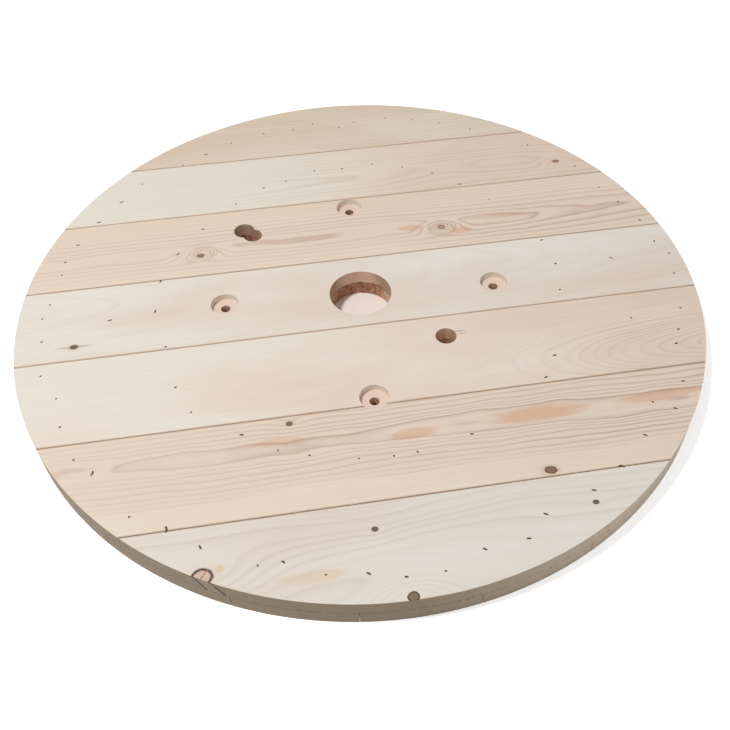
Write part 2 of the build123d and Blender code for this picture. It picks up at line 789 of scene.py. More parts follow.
        # A drying crack right across the stub, with edges 0.2 and 0.8 mm from its middle line
        bearing = math.radians(knot.crack_bearing)
        middle = (*self.across(knot.x, knot.y), 0)
        off = add(self.tree, "ShaderNodeVectorMath", {0: point, 1: middle}, operation="SUBTRACT")
        gap = add(
            self.tree,
            "ShaderNodeVectorMath",
            {0: off, 1: (-math.sin(bearing), math.cos(bearing), 0.0)},
            out="Value",
            operation="DOT_PRODUCT",
        )
        gap = add(self.tree, "ShaderNodeMath", {0: gap}, operation="ABSOLUTE")
        gap = add(self.tree, "ShaderNodeMapRange", {"Value": gap, "From Min": 0.8, "From Max": 0.2})
        return add(self.tree, "ShaderNodeMix", {0: gap, 6: shade, 7: colour(knot.crack)}, **COLOUR_MIX)

    def rim_bark(self, base: Socket, upright: Socket, knot: Knot, distance: Socket) -> Socket:
        """Lays the bark of a knot that the disc's edge cuts down over the edge.

        Args:
            base: the colour with the knot's stub.
            upright: one where the surface is level, and nothing on a wall or the rim.
            knot: the knot.
            distance: how far the point lies from the knot's middle, as a share of its size.

        Returns:
            The colour with the bark.
        """
        bark = add(self.tree, "ShaderNodeMath", {0: distance, 1: 0.98}, operation="SUBTRACT")
        bark = add(self.tree, "ShaderNodeMath", {0: bark}, operation="ABSOLUTE")
        bark = add(self.tree, "ShaderNodeMapRange", {"Value": bark, "From Min": 0.2, "From Max": 0.08})
        wall = add(self.tree, "ShaderNodeMath", {0: 1.0, 1: upright}, operation="SUBTRACT")
        bark = add(self.tree, "ShaderNodeMath", {0: bark, 1: wall}, operation="MULTIPLY")
        return add(self.tree, "ShaderNodeMix", {0: bark, 6: base, 7: colour(knot.bark)}, **COLOUR_MIX)

    def add_knots(self, point: Socket, base: Socket, upright: Socket) -> Socket:
        """Lays each knot into the colour: a warm halo, rings round it, a brown stub and its bark.

        Args:
            point: the point, in mm in the board's own space.
            base: the colour of the wood round the knots.
            upright: one where the surface is level, and nothing on a wall or the rim.

        Returns:
            The colour with the knots.
        """
        for knot in self.figure.knots:
            rough = self.noise(point, GRAIN.knot_edge, detail=2.0, shift=knot.x * 0.1)
            distance = self.oval(point, knot.x, knot.y, knot.half_long, knot.half_wide, lean=knot.lean)
            distance = add(
                self.tree, "ShaderNodeMath", {0: rough, 1: GRAIN.knot_rough, 2: distance}, operation="MULTIPLY_ADD"
            )
            distance = add(
                self.tree, "ShaderNodeMath", {0: distance, 1: GRAIN.knot_rough / 2}, operation="SUBTRACT"
            )
            halo = add(
                self.tree,
                "ShaderNodeMapRange",
                {"Value": distance, "From Min": 2.2, "From Max": 1.0, "To Max": knot.halo_strength},
                interpolation_type="SMOOTHSTEP",
            )
            halo = add(self.tree, "ShaderNodeMath", {0: halo, 1: upright}, operation="MULTIPLY")
            base = add(self.tree, "ShaderNodeMix", {0: halo, 6: base, 7: colour(knot.halo)}, **COLOUR_MIX)
            if knot.eye:
                base = self.eye_rings(point, base, upright, knot, rough)
            shown = upright
            if knot.cut_by_rim:
                # Where the saw cut down through the knot, only its bark stays dark on the rim
                shown = add(
                    self.tree,
                    "ShaderNodeMapRange",
                    {"Value": distance, "From Min": 0.66, "From Max": 0.8, "To Min": 0.15},
                )
                shown = add(self.tree, "ShaderNodeMath", {0: shown, 1: upright}, operation="MAXIMUM")
            inside = add(self.tree, "ShaderNodeMapRange", {"Value": distance, "From Min": 1.12, "From Max": 0.95})
            inside = add(self.tree, "ShaderNodeMath", {0: inside, 1: shown}, operation="MULTIPLY")
            base = add(
                self.tree, "ShaderNodeMix", {0: inside, 6: base, 7: self.stub(point, knot, distance)}, **COLOUR_MIX
            )
            if knot.cut_by_rim:
                base = self.rim_bark(base, upright, knot, distance)
        return base

    def arris_painted_shade(self, point: Socket) -> Socket:
        """Finds the eased edges beside each joint, which are painted darker as painted shade.

        Args:
            point: the point, in mm in the board's own space.

        Returns:
            The share of painted shade.
        """
        parts = add(self.tree, "ShaderNodeSeparateXYZ", {0: point}).node
        over = add(self.tree, "ShaderNodeMath", {0: parts.outputs[1]}, operation="ABSOLUTE")
        edge_noise = self.noise(point, GRAIN.arris_shade_edge, detail=2.0, shift=71.0)
        over = add(self.tree, "ShaderNodeMath", {0: edge_noise, 1: 1.2, 2: over}, operation="MULTIPLY_ADD")
        edge = self.width / 2
        return add(
            self.tree,
            "ShaderNodeMapRange",
            {
                "Value": over,
                "From Min": edge - GRAIN.arris_shade_inside,
                "From Max": edge + GRAIN.arris_shade_outside,
                "To Max": GRAIN.arris_shade_share,
            },
        )

    def seam(self, point: Socket, rim: Socket) -> Socket:
        """Finds the shade in the crack between the two layers, which is ragged in the holes.

        Args:
            point: the point, in mm in the board's own space.
            rim: one on the disc's edge, and nothing in the holes.

        Returns:
            The share of shade.
        """
        height = add(self.tree, "ShaderNodeSeparateXYZ", {0: point}, out=2)
        level = 0.0 if self.layer is Layer.OUTER else BOARD_THICKNESS
        gap = add(self.tree, "ShaderNodeMath", {0: height, 1: level}, operation="SUBTRACT")
        gap = add(self.tree, "ShaderNodeMath", {0: gap}, operation="ABSOLUTE")
        ragged = self.noise(point, GRAIN.seam_edge, detail=3.0, shift=151.0)
        # The noise is about a half, so the shade fades out some 1 mm from the joint
        gap = add(self.tree, "ShaderNodeMath", {0: ragged, 1: -GRAIN.seam_rough, 2: gap}, operation="MULTIPLY_ADD")
        patchy = self.noise(point, GRAIN.seam_fade, detail=1.0, shift=157.0)
        patchy = add(
            self.tree, "ShaderNodeMapRange", {"Value": patchy, "From Min": 0.35, "From Max": 0.65, "To Min": 0.3}
        )
        strength = add(self.tree, "ShaderNodeMapRange", {"Value": rim, "To Min": 0.85, "To Max": patchy})
        return add(
            self.tree,
            "ShaderNodeMapRange",
            {"Value": gap, "From Min": -2.5, "From Max": -3.7, "To Max": strength},
        )

    def seat_share(self, point: Socket) -> Socket:
        """Finds the four seats, whose walls are painted paler than the bore's as painted light, and whose floors get
        their own tone.

        Args:
            point: the point, in mm in the board's own space.

        Returns:
            The share of the seats' own tone, nothing outside them.
        """
        where = add(self.tree, "ShaderNodeTexCoord", out="Object")
        # The four seats fall on one another when the quarters of the disc are folded together
        folded = add(
            self.tree,
            "ShaderNodeMapping",
            {"Vector": where, "Scale": (1 / MM,) * 3, "Rotation": (0, 0, math.radians(-BOLT_TURN_DEGREES))},
        )
        folded = add(self.tree, "ShaderNodeVectorMath", {0: folded}, operation="ABSOLUTE")
        parts = add(self.tree, "ShaderNodeSeparateXYZ", {0: folded}).node.outputs
        longer = add(self.tree, "ShaderNodeMath", {0: parts[0], 1: parts[1]}, operation="MAXIMUM")
        shorter = add(self.tree, "ShaderNodeMath", {0: parts[0], 1: parts[1]}, operation="MINIMUM")
        place = add(self.tree, "ShaderNodeCombineXYZ", {0: longer, 1: shorter})
        off = add(
            self.tree,
            "ShaderNodeVectorMath",
            {0: place, 1: (BOLT_CIRCLE_RADIUS, 0, 0)},
            out="Value",
            operation="DISTANCE",
        )
        near = add(self.tree, "ShaderNodeMath", {0: off, 1: SEAT_RADIUS + 1}, operation="LESS_THAN")
        height = add(self.tree, "ShaderNodeSeparateXYZ", {0: point}, out=2)
        above = add(
            self.tree, "ShaderNodeMath", {0: height, 1: BOARD_THICKNESS - SEAT_DEPTH - 0.1}, operation="GREATER_THAN"
        )
        share = add(self.tree, "ShaderNodeMath", {0: near, 1: above}, operation="MULTIPLY")
        return add(self.tree, "ShaderNodeMath", {0: share, 1: GRAIN.seat_share}, operation="MULTIPLY")

    def axis_share(self, near: float, far: float) -> Socket:
        """Measures how far a point lies between two distances from the bore's axis.

        Args:
            near: the distance where the share is 0, in mm.
            far: the distance where it reaches 1, in mm.

        Returns:
            The share.
        """
        where = add(self.tree, "ShaderNodeTexCoord", out="Object")
        flat = add(
            self.tree, "ShaderNodeVectorMath", {0: where, 1: (1 / MM, 1 / MM, 0.0)}, operation="MULTIPLY"
        )
        reach = add(self.tree, "ShaderNodeVectorMath", {0: flat}, out="Value", operation="LENGTH")
        return add(self.tree, "ShaderNodeMapRange", {"Value": reach, "From Min": near, "From Max": far})

    def planed(self, point: Socket, radius: Socket, tone: Socket, fibre: Socket) -> Socket:
        """Colours the planed faces, and the floors of the seats that were sunk into them.

        Args:
            point: the point, in mm in the board's own space.
            radius: the distance from the log's pith, in mm.
            tone: how much summer wood shows.
            fibre: the noise of the fibres.

        Returns:
            The colour.
        """
        wood = self.figure.wood
        shade = self.face_colour(point, radius, tone)
        streak = add(
            self.tree,
            "ShaderNodeMapRange",
            {"Value": fibre, "From Min": 0.3, "From Max": 0.7, "To Max": GRAIN.fibre_shade},
        )
        shade = add(self.tree, "ShaderNodeMix", {0: streak, 6: shade, 7: colour(wood.ring)}, **COLOUR_MIX)
        # Painted shade: the eased edges beside each joint are darkened
        shade = add(
            self.tree, "ShaderNodeMix", {0: self.arris_painted_shade(point), 6: shade, 7: colour(wood.grime_and_arris_shade)}, **COLOUR_MIX
        )
        if self.layer is Layer.INNER:
            return shade
        # The bit left the seats' floors rough, so they look duller than the planed face
        height = add(self.tree, "ShaderNodeSeparateXYZ", {0: point}, out=2)
        sunk = add(self.tree, "ShaderNodeMath", {0: height, 1: BOARD_THICKNESS - 2}, operation="LESS_THAN")
        sunk = add(self.tree, "ShaderNodeMath", {0: sunk, 1: self.seat_share(point)}, operation="MULTIPLY")
        return add(self.tree, "ShaderNodeMix", {0: sunk, 6: shade, 7: colour(wood.seat_floor)}, **COLOUR_MIX)

    def sawn_rim(self, point: Socket) -> Socket:
        """Colours the disc's edge, sawn: one grey brown over both kinds of grain.

        Args:
            point: the point, in mm in the board's own space.

        Returns:
            The colour, which is paler towards the right of the disc: painted light, for the light that fell on that
            side.
        """
        wood = self.figure.wood
        marks = self.noise(point, GRAIN.saw_marks, detail=2.0, shift=131.0)
        marks = add(
            self.tree, "ShaderNodeMapRange", {"Value": marks, "From Min": 0.35, "From Max": 0.7, "To Max": 0.3}
        )
        # Painted light: the edge is painted paler towards the right, where more light fell on it
        where = add(self.tree, "ShaderNodeTexCoord", out="Object")
        right = add(self.tree, "ShaderNodeSeparateXYZ", {0: where})
        right = add(self.tree, "ShaderNodeMapRange", {"Value": right, "From Min": 0.0, "From Max": 0.24})
        shade = add(
            self.tree, "ShaderNodeMix", {0: right, 6: colour(wood.sawn), 7: colour(wood.sawn_painted_lit)}, **COLOUR_MIX
        )
        return add(self.tree, "ShaderNodeMix", {0: marks, 6: shade, 7: colour(wood.grime_and_arris_shade)}, **COLOUR_MIX)

    def cut_wood(self, point: Socket, tone: Socket, pits: Socket, crossing: Socket) -> Socket:
        """Colours the walls of the holes and the disc's edge.

        Cut across the fibres the wood is darker, and torn into pits where a blunt drill went through.

        Args:
            point: the point, in mm in the board's own space.
            tone: how much summer wood shows.
            pits: the noise of the pits.
            crossing: one where the wall crosses the fibres, and nothing where it runs beside them.

        Returns:
            The colour.
        """
        wood = self.figure.wood
        torn = add(self.tree, "ShaderNodeMapRange", {"Value": pits, "From Min": 0.38, "From Max": 0.62})
        end = add(self.tree, "ShaderNodeMix", {0: torn, 6: colour(wood.end_grain), 7: colour(wood.torn)}, **COLOUR_MIX)
        end = add(self.tree, "ShaderNodeMix", {0: tone, 6: end, 7: colour(wood.torn)}, **COLOUR_MIX)
        side = add(self.tree, "ShaderNodeMix", {0: crossing, 6: colour(wood.wall), 7: end}, **COLOUR_MIX)
        # Painted light: the shallow seats' walls are painted paler than the deep bore's, which stands for the light
        # that reaches them
        if self.layer is Layer.OUTER:
            side = add(
                self.tree, "ShaderNodeMix", {0: self.seat_share(point), 6: side, 7: colour(wood.seat_wall_painted_lit)}, **COLOUR_MIX
            )
        # Only the disc's own edge lies this far out
        rim = self.axis_share(FLANGE_RADIUS - 3, FLANGE_RADIUS - 2)
        side = add(self.tree, "ShaderNodeMix", {0: rim, 6: side, 7: self.sawn_rim(point)}, **COLOUR_MIX)
        return add(self.tree, "ShaderNodeMix", {0: self.seam(point, rim), 6: side, 7: colour(wood.shade)}, **COLOUR_MIX)

    def relief(self, tone: Socket, fibre: Socket, pits: Socket, crossing: Socket) -> Socket:
        """Raises fibres and sinks pits by a bump.

        Args:
            tone: how much summer wood shows.
            fibre: the noise of the fibres.
            pits: the noise of the pits.
            crossing: one where the surface crosses the fibres.

        Returns:
            The bumped normal.
        """
        height = add(self.tree, "ShaderNodeMath", {0: tone, 1: -0.35, 2: fibre}, operation="MULTIPLY_ADD")
        torn = add(self.tree, "ShaderNodeMath", {0: pits, 1: 9.0}, operation="MULTIPLY")
        height = add(self.tree, "ShaderNodeMix", {0: crossing, 2: height, 3: torn}, data_type="FLOAT")
        return add(
            self.tree,
            "ShaderNodeBump",
            {"Strength": GRAIN.relief_strength, "Distance": GRAIN.relief * MM, "Height": height},
            out="Normal",
        )

    def build(self) -> bpy.types.Material:
        """Builds the node tree.

        Returns:
            The finished material.
        """
        outer = self.layer is Layer.OUTER
        roughness = self.figure.wood.roughness
        point = self.board_space()
        radius = self.ring_radius(point)
        tone = self.ring_tone(radius)
        fibre = self.noise(point, GRAIN.fibres, detail=3.0, shift=5.0)
        pits = self.noise(point, GRAIN.outer_pits if outer else GRAIN.inner_pits, detail=4.0, shift=97.0)
        normal = add(self.tree, "ShaderNodeNewGeometry", out="True Normal")
        sides = add(self.tree, "ShaderNodeSeparateXYZ", {0: normal}).node.outputs
        crossing = add(self.tree, "ShaderNodeMath", {0: sides[0 if outer else 1]}, operation="ABSOLUTE")
        crossing = add(
            self.tree,
            "ShaderNodeMapRange",
            {"Value": crossing, "From Min": 0.3, "From Max": 0.85},
            interpolation_type="SMOOTHSTEP",
        )
        level = add(self.tree, "ShaderNodeMath", {0: sides[2]}, operation="ABSOLUTE")
        level = add(self.tree, "ShaderNodeMapRange", {"Value": level, "From Min": 0.2, "From Max": 0.75})
        side = self.cut_wood(point, tone, pits, crossing)
        shown = add(
            self.tree, "ShaderNodeMix", {0: level, 6: side, 7: self.planed(point, radius, tone, fibre)}, **COLOUR_MIX
        )
        shown = self.add_knots(point, shown, level)
        sheen = add(
            self.tree, "ShaderNodeMapRange", {"Value": fibre, "To Min": roughness - 0.08, "To Max": roughness + 0.12}
        )
        bump = self.relief(tone, fibre, pits, crossing)
        shader = add(
            self.tree,
            "ShaderNodeBsdfPrincipled",
            {"Base Color": shown, "Roughness": sheen, "Normal": bump, "IOR": 1.5, "Specular IOR Level": 0.35},
        )
        add(self.tree, "ShaderNodeOutputMaterial", {"Surface": shader})
        return self.material


# ---------------------------------------------------------------------------
# The boards
# ---------------------------------------------------------------------------

TAN_WOOD = Softwood(pale="e0d4c5", drift="d8c6b0", ring="b99d7f")
CREAM_WOOD = Softwood(pale="e7e0d6", drift="deccbc", ring="c6ae98", wall="efccb6")
PINK_WOOD = Softwood(pale="e6dac9", drift="e2d0be", heart="e3d1c0", ring="cdb298", heart_ring="b58b74")
BEIGE_WOOD = Softwood(
    pale="e6ded3", drift="e2cfbe", ring="c4a88f", wall="f0cbb0", end_grain="dcbb9e", torn="c3997a"
)
GREY_WOOD = Softwood(pale="e5ded4", drift="dfd3c8", ring="c6b29f")


@dataclass
class BoardLayer:
    """Seven boards side by side, cut to one disc, in one layer of the flange."""

    layer: Layer
    figures: tuple[Figure, ...]
    bottom: float
    seed: int

    def node_name(self, number: int) -> str:
        """Returns the CAD node of a board, counted from one."""
        return f"{self.layer.value}_board_{number}"

    def middle(self, number: int) -> float:
        """Returns a board's centre line in mm, across its fibres, from the CAD model itself."""
        low, high = self.span(number)
        return (low + high) / 2

    def span(self, number: int) -> tuple[float, float]:
        """Reads a board's two edges from the CAD model. The disc cuts the outermost ones.

        Args:
            number: the board, counted from one.

        Returns:
            The lower and the higher edge in mm, across the board's fibres.
        """
        low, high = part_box(self.node_name(number))
        side = 1 if self.layer is Layer.OUTER else 0
        return low[side] / MM, high[side] / MM

    def build(self) -> list[bpy.types.Object]:
        """Gives every board of the layer its own material.

        Returns:
            The boards.
        """
        boards = []
        for number, figure in enumerate(self.figures, start=1):
            name = self.node_name(number)
            low, high = self.span(number)
            maker = BoardMaterial(
                f"planed_softwood_{name}",
                figure,
                self.layer,
                self.middle(number),
                high - low,
                self.bottom,
                self.seed + number,
            )
            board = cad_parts[name]
            material = maker.build()
            board.data.materials.clear()
            board.data.materials.append(material)
            boards.append(board)
        return boards


OUTER_FIGURES = (
    # 1, at the back: greyish tan with fine lines
    Figure(pith_across=-120, pith_depth=60, pith_fall=0.06, ring_gap=3.8, ring_strength=0.9, wood=TAN_WOOD),
    # 2: pale cream on the left, fine wavy tan lines on the right
    Figure(
        pith_across=-18,
        pith_depth=46,
        pith_fall=0.022,
        ring_gap=3.6,
        ring_strength=1.0,
        wander=16,
        drift_along=0.0011,
        bold_along=0.0016,
        knots=(Knot(340, 239, 5, 3.4, push=7, reach=2.6, core="8c6a50", inner="a58468", bark="6e5340"),),
        wood=replace(CREAM_WOOD, pale="e3dbcf", drift="dfccba"),
    ),
    # 3: pinkish tan with long bold lines, and two knots in ringed eyes
    Figure(
        pith_across=-14,
        pith_depth=30,
        pith_fall=0.01,
        ring_gap=5.2,
        ring_strength=1.0,
        wander=9,
        ripple=1.8,
        bold_along=0.0007,
        bold_here=0.75,
        heart_radius=52,
        knots=(
            Knot(-210, 111, 5.2, 4.0, push=15, reach=3.3, core="80675a", inner="93786a", bark="5f4b40", eye=0.5,
                 eye_off=(4.5, 5)),
            Knot(134, 115, 5.2, 4.2, push=15, reach=3.2, core="a07b6c", inner="c09c8c", bark="5f463c", eye=0.6,
                 eye_off=(1, 1)),
        ),
        flames=(
            Flame(91, 120, 20, 7, strength=0.55),
            Flame(161, 104, 15, 8, strength=0.5),
            Flame(217, 126, 48, 6.5, strength=0.5, tint="cdab90"),
        ),
        wood=replace(PINK_WOOD, heart_ring="ab8069"),
    ),
    # 4, at the bore: cream and almost plain
    Figure(
        pith_across=30,
        pith_depth=150,
        pith_fall=0.05,
        ring_gap=5.5,
        ring_strength=0.24,
        wander=16,
        knots=(Knot(-374, -37, 4.8, 3.5, push=10, reach=3.8, core="5f4c3c", inner="7b6452", halo="b59d80"),),
        flames=(Flame(-374, -37, 26, 2.2, tint="b39c82", strength=0.6),),
        wood=replace(CREAM_WOOD, drift="dfd0c3"),
    ),
    # 5: beige, with arches that open to the right
    Figure(
        pith_across=-34,
        pith_depth=84,
        pith_fall=-0.16,
        ring_gap=3.3,
        ring_strength=0.9,
        wander=11,
        drift_along=0.0006,
        bold_along=0.0042,
        bold_here=-0.35,
        flames=(
            # These two thin dark lenses are painted shade: the shadow in a crack under a lifted sliver
            Flame(116, -91, 8, 0.7, tint="8d6f5a", strength=0.85),
            Flame(118, -96, 8, 0.6, tint="96775f", strength=0.8),
        ),
        wood=BEIGE_WOOD,
    ),
    # 6: pink heartwood with bold waves, and a yellowish sapwood band in front
    Figure(
        pith_across=20,
        pith_depth=22,
        pith_fall=-0.012,
        ring_gap=4.8,
        ring_strength=1.0,
        wander=11,
        ripple=3.0,
        bold_along=0.0013,
        bold_here=0.78,
        heart_radius=59,
        heart_blur=5,
        sapwood_rings=0.25,
        knots=(
            Knot(-114, -205, 4, 3.2, push=5, reach=2.6, core="6e5344", inner="866a59"),
            Knot(171, -319, 7, 5, push=7, reach=2.2, core="755644", inner="93735c", bark="4a3121"),
        ),
        flames=(
            Flame(178, -238, 60, 12, strength=0.62),
            Flame(330, -236, 62, 8, strength=0.5, tilt=3),
            Flame(26, -243, 30, 8, strength=0.5),
            Flame(-133, -229, 34, 5, strength=0.4),
        ),
        wood=replace(PINK_WOOD, heart_ring="9b6b54"),
    ),
    # 7, at the front: greyish white with a soft swirl, and knots near its edge
    Figure(
        pith_across=-35,
        pith_depth=70,
        pith_fall=0.03,
        ring_gap=6.5,
        ring_strength=0.5,
        wander=24,
        knots=(
            Knot(-36, -362, 3.6, 3.0, push=3, core="5c4c40", inner="75655a", bark="44372d", halo="d8c8b8"),
            Knot(208, -368, 3.6, 2.8, push=3, core="5c4c40", inner="75655a", bark="44372d", halo="d8c8b8"),
            Knot(-9, -446, 6.4, 5.8, push=26, reach=4.2, core="6b5a44", inner="8a7960", halo="e9dfcf"),
            Knot(
                -221,
                -389,
                11.5,
                10,
                push=24,
                reach=3.6,
                core="ccaa97",
                inner="d6b7a6",
                bark="38231b",
                halo="dcccba",
                lean=(0.7, -0.34),
                crack_bearing=52,
                bark_width=1.25,
                cut_by_rim=True,
            ),
        ),
        flames=(
            Flame(-105, -408, 40, 7, tint="dcc5a6", strength=0.6),
            Flame(-203, -382, 6, 4, tint="d8bd92", strength=0.7),
        ),
        wood=GREY_WOOD,
    ),
)

# The drill came out through the inner layer, and tore its fibres
DRILLED_OUT = {"end_grain": "d3a081", "torn": "9c6a4e"}
DRILLED_CLEAN = {"end_grain": "dcb99c", "torn": "c39a7b"}

INNER_FIGURES = tuple(
    Figure(
        pith_across=offset,
        pith_depth=depth,
        pith_fall=fall,
        ring_gap=gap,
        ring_strength=0.6,
        wood=replace(wood, **(DRILLED_CLEAN if number == 5 else DRILLED_OUT)),
        heart_radius=heart,
    )
    for number, offset, depth, fall, gap, wood, heart in (
        (1, -60, 40, 0.05, 4.0, TAN_WOOD, 0),
        (2, 20, 60, 0.03, 4.6, CREAM_WOOD, 0),
        (3, 0, 30, 0.02, 5.0, PINK_WOOD, 55),
        (4, 45, 48, -0.06, 3.8, TAN_WOOD, 0),
        (5, -20, 26, 0.04, 5.2, PINK_WOOD, 60),
        (6, 70, 90, 0.02, 3.6, GREY_WOOD, 0),
        (7, -90, 55, -0.05, 4.2, CREAM_WOOD, 0),
    )
)


# ---------------------------------------------------------------------------
# Nails
# ---------------------------------------------------------------------------


@dataclass(frozen=True)
class NailSteel:
    """Bright drawn steel wire that has dulled and picked up resin: dark grey-brown, half matt."""

    shade: str = "39312a"
    rust: str = "573c2b"
    roughness: float = 0.5

    def build(self) -> bpy.types.Material:
        """Builds the material of the nails.

        Returns:
            The material.
        """
        material = blank_material("drawn_nail_steel")
        tree = material.node_tree
        where = add(tree, "ShaderNodeTexCoord", out="Object")
        # Specks of rust about 1 mm across
        specks = add(tree, "ShaderNodeTexNoise", {"Vector": where, "Scale": 1 / (1.0 * MM), "Detail": 2.0})
        share = add(tree, "ShaderNodeMapRange", {"Value": specks, "From Min": 0.45, "From Max": 0.65})
        skin = add(tree, "ShaderNodeMix", {0: share, 6: colour(self.shade), 7: colour(self.rust)}, **COLOUR_MIX)
        bump = add(
            tree, "ShaderNodeBump", {"Strength": 0.3, "Distance": 0.1 * MM, "Height": specks}, out="Normal"
        )
        shader = add(
            tree,
            "ShaderNodeBsdfPrincipled",
            {"Base Color": skin, "Metallic": 0.4, "Roughness": self.roughness, "Normal": bump},
        )
        add(tree, "ShaderNodeOutputMaterial", {"Surface": shader})
        return material


class NailEnd(Enum):
    """How much of a clinched nail's point still shows."""

    DOT = 0
    DASH = 1
    HOOK = 2


@dataclass(frozen=True)
class NailMark:
    """One nail point: where it comes through, in mm from the bore's axis, how it lies and how long it is."""

    x: float
    y: float
    end: NailEnd = NailEnd.DOT
    turn: float = 0.0
    length: float = 1.0


# Where the small points come through, in mm from the bore's axis
DOTS = (
    (46, 398), (20, 388), (-54, 393), (-102, 390), (-155, 374), (-232, 328), (-294, 290), (-399, 103),
    (-410, 46), (-418, 21), (-415, -21), (-411, -80), (-389, -120), (-381, -165), (-362, -216),
    (-297, -303), (-163, -385), (-94, -407), (29, -423), (427, -34), (435, 6), (366, 222), (386, 165),
    (309, 288), (229, 346), (183, 372), (141, 388), (98, 401), (-21, 404),
    (-77, 260), (-32, 278), (58, 280), (103, 265), (146, 242), (217, 165), (265, -39), (28, -270),
    (0, -271), (-40, -268), (-95, -254), (-130, -241), (-246, -126), (-228, -168), (-258, -56),
    (-155, 218), (403, 127), (319, -244), (341, -106), (411, -99),
)  # fmt: skip
# Place, turn in degrees and length as a share of the kind's own
DASHES = (
    (-195, 350, 4, 1.5), (-323, 251, 12, 1.4), (-354, 209, 8, 1.5), (-381, 163, 2, 1.2), (-396, 129, 20, 1.1),
    (-222, -353, 112, 1.3), (-50, -413, -40, 1.2), (-12, -423, -20, 1.0), (75, -405, -35, 1.2), (124, -400, -10, 1.2),
    (150, -374, -30, 1.3), (211, -353, -14, 1.2), (293, -290, -32, 1.2), (342, -258, -30, 1.1), (367, -219, -6, 0.9),
    (382, -158, 12, 1.1), (394, -135, 4, 1.0), (424, 34, 70, 1.0), (420, 81, -48, 1.1), (-112, 249, 4, 1.0),
    (11, 276, 6, 1.0), (182, 208, -4, 1.2), (269, 63, 18, 1.2), (274, 12, 30, 1.0), (225, -152, 14, 1.2),
    (204, -185, 24, 1.1), (95, -255, -8, 0.9), (-170, -212, -6, 1.2), (-272, 11, 82, 1.2), (-265, 68, 66, 1.2),
    (-241, 120, 30, 1.2), (-205, 168, 0, 1.0), (353, 10, -40, 1.1), (-330, 4, 12, 1.4),
)  # fmt: skip
HOOKS = (
    (-340, -239, -112, 0.95), (-257, -326, -92, 1.1), (-136, -385, -48, 0.6), (252, -327, -28, 0.9),
)
NAIL_MARKS = (
    *(NailMark(x, y) for x, y in DOTS),
    *(NailMark(x, y, NailEnd.DASH, turn, length) for x, y, turn, length in DASHES),
    *(NailMark(x, y, NailEnd.HOOK, turn, length) for x, y, turn, length in HOOKS),
)


